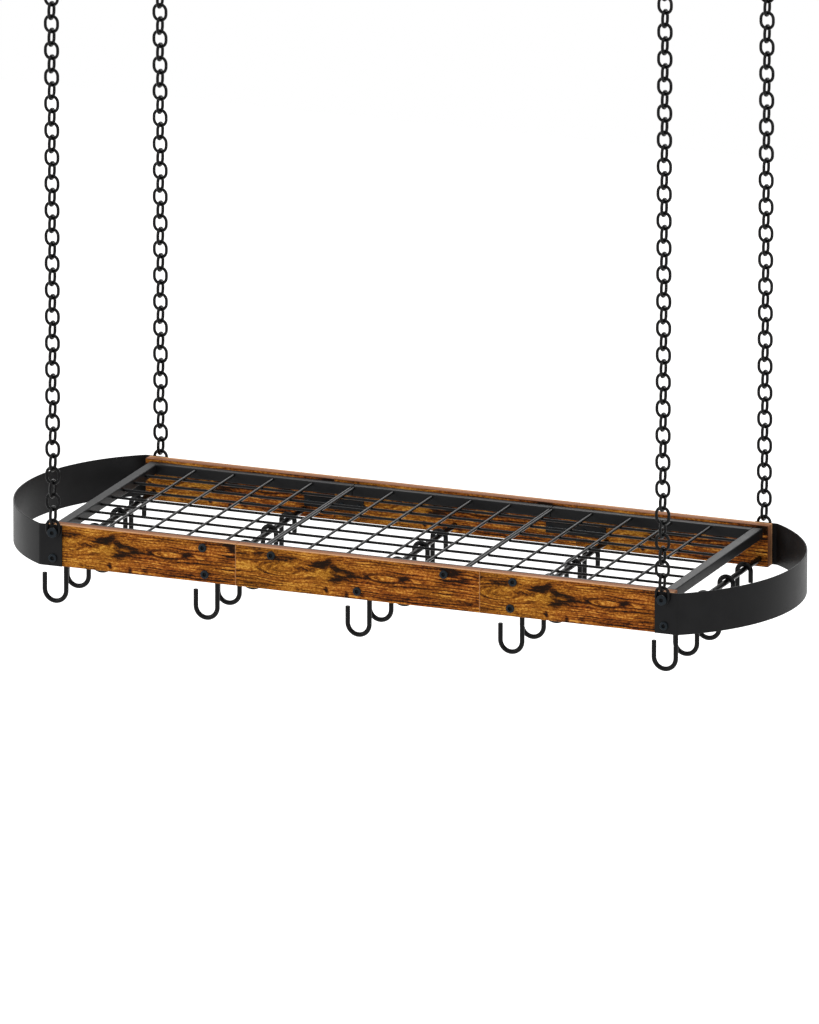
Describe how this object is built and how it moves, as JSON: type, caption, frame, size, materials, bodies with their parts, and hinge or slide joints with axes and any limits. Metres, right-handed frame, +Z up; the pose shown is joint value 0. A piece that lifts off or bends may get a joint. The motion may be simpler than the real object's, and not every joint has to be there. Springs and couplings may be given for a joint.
{
  "type": "hanging pot rack",
  "caption": "Hanging pot rack: wood-look side boards, curved steel end bands and a wire shelf hung on chains, with S-hooks on rods below.",
  "frame": {"origin": "middle of the ceiling plane, between the four ceiling plates", "axes": "+X along the rack, +Y to its rear long side, +Z up"},
  "size_m": [1.1786, 0.4396, 1.0625],
  "materials": {
    "wood": "satin",
    "coated_steel": "satin",
    "chain_steel": "satin",
    "bolt_steel": "satin"
  },
  "bodies": {
    "ceiling": {"ceiling_hook_front_left": "coated_steel", "ceiling_hook_front_right": "coated_steel", "ceiling_hook_rear_left": "coated_steel", "ceiling_hook_rear_right": "coated_steel"},
    "top_link_front_left": {"top_link_front_left": "chain_steel"},
    "chain_front_left": {"chain_front_left": "chain_steel"},
    "bottom_link_front_left": {"bottom_link_front_left": "chain_steel"},
    "top_link_front_right": {"top_link_front_right": "chain_steel"},
    "chain_front_right": {"chain_front_right": "chain_steel"},
    "bottom_link_front_right": {"bottom_link_front_right": "chain_steel"},
    "top_link_rear_left": {"top_link_rear_left": "chain_steel"},
    "chain_rear_left": {"chain_rear_left": "chain_steel"},
    "bottom_link_rear_left": {"bottom_link_rear_left": "chain_steel"},
    "top_link_rear_right": {"top_link_rear_right": "chain_steel"},
    "chain_rear_right": {"chain_rear_right": "chain_steel"},
    "bottom_link_rear_right": {"bottom_link_rear_right": "chain_steel"},
    "rack": {"board_front_left": "wood", "board_front_middle": "wood", "board_front_right": "wood", "splice_plate_front_left": "coated_steel", "splice_plate_front_right": "coated_steel", "board_rear_left": "wood", "board_rear_middle": "wood", "board_rear_right": "wood", "splice_plate_rear_left": "coated_steel", "splice_plate_rear_right": "coated_steel", "end_band_left": "coated_steel", "end_band_right": "coated_steel", "shelf_panel_left": "coated_steel", "shelf_panel_middle": "coated_steel", "shelf_panel_right": "coated_steel", "cross_rod_1": "bolt_steel", "cross_rod_2": "bolt_steel", "cross_rod_3": "bolt_steel", "cross_rod_4": "bolt_steel", "cross_rod_5": "bolt_steel", "chain_bolt_front_left": "bolt_steel", "chain_bolt_front_right": "bolt_steel", "chain_bolt_rear_left": "bolt_steel", "chain_bolt_rear_right": "bolt_steel"},
    "hook_1_1": {"hook_1_1": "coated_steel"},
    "hook_1_2": {"hook_1_2": "coated_steel"},
    "hook_1_3": {"hook_1_3": "coated_steel"},
    "hook_1_4": {"hook_1_4": "coated_steel"},
    "hook_2_1": {"hook_2_1": "coated_steel"},
    "hook_2_2": {"hook_2_2": "coated_steel"},
    "hook_2_3": {"hook_2_3": "coated_steel"},
    "hook_2_4": {"hook_2_4": "coated_steel"},
    "hook_3_1": {"hook_3_1": "coated_steel"},
    "hook_3_2": {"hook_3_2": "coated_steel"},
    "hook_3_3": {"hook_3_3": "coated_steel"},
    "hook_3_4": {"hook_3_4": "coated_steel"},
    "hook_4_1": {"hook_4_1": "coated_steel"},
    "hook_4_2": {"hook_4_2": "coated_steel"},
    "hook_4_3": {"hook_4_3": "coated_steel"},
    "hook_4_4": {"hook_4_4": "coated_steel"},
    "hook_5_1": {"hook_5_1": "coated_steel"},
    "hook_5_2": {"hook_5_2": "coated_steel"},
    "hook_5_3": {"hook_5_3": "coated_steel"},
    "hook_5_4": {"hook_5_4": "coated_steel"}
  },
  "joints": [
    {"name": "side_swing_front_left", "type": "hinge", "parent": "ceiling", "child": "top_link_front_left", "pos_m": [-0.464, -0.1998, -0.028], "axis": [0, 1, 0], "range_deg": [-10, 10]},
    {"name": "fore_aft_swing_front_left", "type": "hinge", "parent": "top_link_front_left", "child": "chain_front_left", "pos_m": [-0.464, -0.1998, -0.0467], "axis": [1, 0, 0], "range_deg": [-10, 10]},
    {"name": "fore_aft_level_front_left", "type": "hinge", "parent": "chain_front_left", "child": "bottom_link_front_left", "pos_m": [-0.464, -0.1998, -0.9168], "axis": [1, 0, 0], "range_deg": [-10, 10]},
    {"name": "side_swing_front_right", "type": "hinge", "parent": "ceiling", "child": "top_link_front_right", "pos_m": [0.464, -0.1998, -0.028], "axis": [0, 1, 0], "range_deg": [-10, 10]},
    {"name": "fore_aft_swing_front_right", "type": "hinge", "parent": "top_link_front_right", "child": "chain_front_right", "pos_m": [0.464, -0.1998, -0.0467], "axis": [1, 0, 0], "range_deg": [-10, 10]},
    {"name": "fore_aft_level_front_right", "type": "hinge", "parent": "chain_front_right", "child": "bottom_link_front_right", "pos_m": [0.464, -0.1998, -0.9168], "axis": [1, 0, 0], "range_deg": [-10, 10]},
    {"name": "side_swing_rear_left", "type": "hinge", "parent": "ceiling", "child": "top_link_rear_left", "pos_m": [-0.464, 0.1998, -0.028], "axis": [0, 1, 0], "range_deg": [-10, 10]},
    {"name": "fore_aft_swing_rear_left", "type": "hinge", "parent": "top_link_rear_left", "child": "chain_rear_left", "pos_m": [-0.464, 0.1998, -0.0467], "axis": [1, 0, 0], "range_deg": [-10, 10]},
    {"name": "fore_aft_level_rear_left", "type": "hinge", "parent": "chain_rear_left", "child": "bottom_link_rear_left", "pos_m": [-0.464, 0.1998, -0.9168], "axis": [1, 0, 0], "range_deg": [-10, 10]},
    {"name": "side_swing_rear_right", "type": "hinge", "parent": "ceiling", "child": "top_link_rear_right", "pos_m": [0.464, 0.1998, -0.028], "axis": [0, 1, 0], "range_deg": [-10, 10]},
    {"name": "fore_aft_swing_rear_right", "type": "hinge", "parent": "top_link_rear_right", "child": "chain_rear_right", "pos_m": [0.464, 0.1998, -0.0467], "axis": [1, 0, 0], "range_deg": [-10, 10]},
    {"name": "fore_aft_level_rear_right", "type": "hinge", "parent": "chain_rear_right", "child": "bottom_link_rear_right", "pos_m": [0.464, 0.1998, -0.9168], "axis": [1, 0, 0], "range_deg": [-10, 10]},
    {"name": "rack_level", "type": "hinge", "parent": "bottom_link_front_left", "child": "rack", "pos_m": [-0.464, -0.1998, -0.935], "axis": [0, 1, 0], "range_deg": [-10, 10]},
    {"name": "hook_1_1_swing", "type": "hinge", "parent": "rack", "child": "hook_1_1", "pos_m": [-0.4656, -0.124, -0.9738], "axis": [0, 1, 0], "range_deg": [-45, 45]},
    {"name": "hook_1_2_swing", "type": "hinge", "parent": "rack", "child": "hook_1_2", "pos_m": [-0.4656, -0.041, -0.9738], "axis": [0, 1, 0], "range_deg": [-45, 45]},
    {"name": "hook_1_3_swing", "type": "hinge", "parent": "rack", "child": "hook_1_3", "pos_m": [-0.4656, 0.047, -0.9738], "axis": [0, 1, 0], "range_deg": [-45, 45]},
    {"name": "hook_1_4_swing", "type": "hinge", "parent": "rack", "child": "hook_1_4", "pos_m": [-0.4656, 0.117, -0.9738], "axis": [0, 1, 0], "range_deg": [-45, 45]},
    {"name": "hook_2_1_swing", "type": "hinge", "parent": "rack", "child": "hook_2_1", "pos_m": [-0.2328, -0.124, -0.9738], "axis": [0, 1, 0], "range_deg": [-45, 45]},
    {"name": "hook_2_2_swing", "type": "hinge", "parent": "rack", "child": "hook_2_2", "pos_m": [-0.2328, -0.041, -0.9738], "axis": [0, 1, 0], "range_deg": [-45, 45]},
    {"name": "hook_2_3_swing", "type": "hinge", "parent": "rack", "child": "hook_2_3", "pos_m": [-0.2328, 0.047, -0.9738], "axis": [0, 1, 0], "range_deg": [-45, 45]},
    {"name": "hook_2_4_swing", "type": "hinge", "parent": "rack", "child": "hook_2_4", "pos_m": [-0.2328, 0.117, -0.9738], "axis": [0, 1, 0], "range_deg": [-45, 45]},
    {"name": "hook_3_1_swing", "type": "hinge", "parent": "rack", "child": "hook_3_1", "pos_m": [0, -0.124, -0.9738], "axis": [0, 1, 0], "range_deg": [-45, 45]},
    {"name": "hook_3_2_swing", "type": "hinge", "parent": "rack", "child": "hook_3_2", "pos_m": [0, -0.041, -0.9738], "axis": [0, 1, 0], "range_deg": [-45, 45]},
    {"name": "hook_3_3_swing", "type": "hinge", "parent": "rack", "child": "hook_3_3", "pos_m": [0, 0.047, -0.9738], "axis": [0, 1, 0], "range_deg": [-45, 45]},
    {"name": "hook_3_4_swing", "type": "hinge", "parent": "rack", "child": "hook_3_4", "pos_m": [0, 0.117, -0.9738], "axis": [0, 1, 0], "range_deg": [-45, 45]},
    {"name": "hook_4_1_swing", "type": "hinge", "parent": "rack", "child": "hook_4_1", "pos_m": [0.2328, -0.124, -0.9738], "axis": [0, 1, 0], "range_deg": [-45, 45]},
    {"name": "hook_4_2_swing", "type": "hinge", "parent": "rack", "child": "hook_4_2", "pos_m": [0.2328, -0.041, -0.9738], "axis": [0, 1, 0], "range_deg": [-45, 45]},
    {"name": "hook_4_3_swing", "type": "hinge", "parent": "rack", "child": "hook_4_3", "pos_m": [0.2328, 0.047, -0.9738], "axis": [0, 1, 0], "range_deg": [-45, 45]},
    {"name": "hook_4_4_swing", "type": "hinge", "parent": "rack", "child": "hook_4_4", "pos_m": [0.2328, 0.117, -0.9738], "axis": [0, 1, 0], "range_deg": [-45, 45]},
    {"name": "hook_5_1_swing", "type": "hinge", "parent": "rack", "child": "hook_5_1", "pos_m": [0.4656, -0.124, -0.9738], "axis": [0, 1, 0], "range_deg": [-45, 45]},
    {"name": "hook_5_2_swing", "type": "hinge", "parent": "rack", "child": "hook_5_2", "pos_m": [0.4656, -0.041, -0.9738], "axis": [0, 1, 0], "range_deg": [-45, 45]},
    {"name": "hook_5_3_swing", "type": "hinge", "parent": "rack", "child": "hook_5_3", "pos_m": [0.4656, 0.047, -0.9738], "axis": [0, 1, 0], "range_deg": [-45, 45]},
    {"name": "hook_5_4_swing", "type": "hinge", "parent": "rack", "child": "hook_5_4", "pos_m": [0.4656, 0.117, -0.9738], "axis": [0, 1, 0], "range_deg": [-45, 45]}
  ],
  "couplings": [
    {"joint": "fore_aft_level_front_left", "follows": "fore_aft_swing_front_left", "ratio": -1},
    {"joint": "side_swing_front_right", "follows": "side_swing_front_left", "ratio": 1},
    {"joint": "fore_aft_swing_front_right", "follows": "fore_aft_swing_front_left", "ratio": 1},
    {"joint": "fore_aft_level_front_right", "follows": "fore_aft_swing_front_left", "ratio": -1},
    {"joint": "side_swing_rear_left", "follows": "side_swing_front_left", "ratio": 1},
    {"joint": "fore_aft_swing_rear_left", "follows": "fore_aft_swing_front_left", "ratio": 1},
    {"joint": "fore_aft_level_rear_left", "follows": "fore_aft_swing_front_left", "ratio": -1},
    {"joint": "side_swing_rear_right", "follows": "side_swing_front_left", "ratio": 1},
    {"joint": "fore_aft_swing_rear_right", "follows": "fore_aft_swing_front_left", "ratio": 1},
    {"joint": "fore_aft_level_rear_right", "follows": "fore_aft_swing_front_left", "ratio": -1},
    {"joint": "rack_level", "follows": "side_swing_front_left", "ratio": -1}
  ]
}
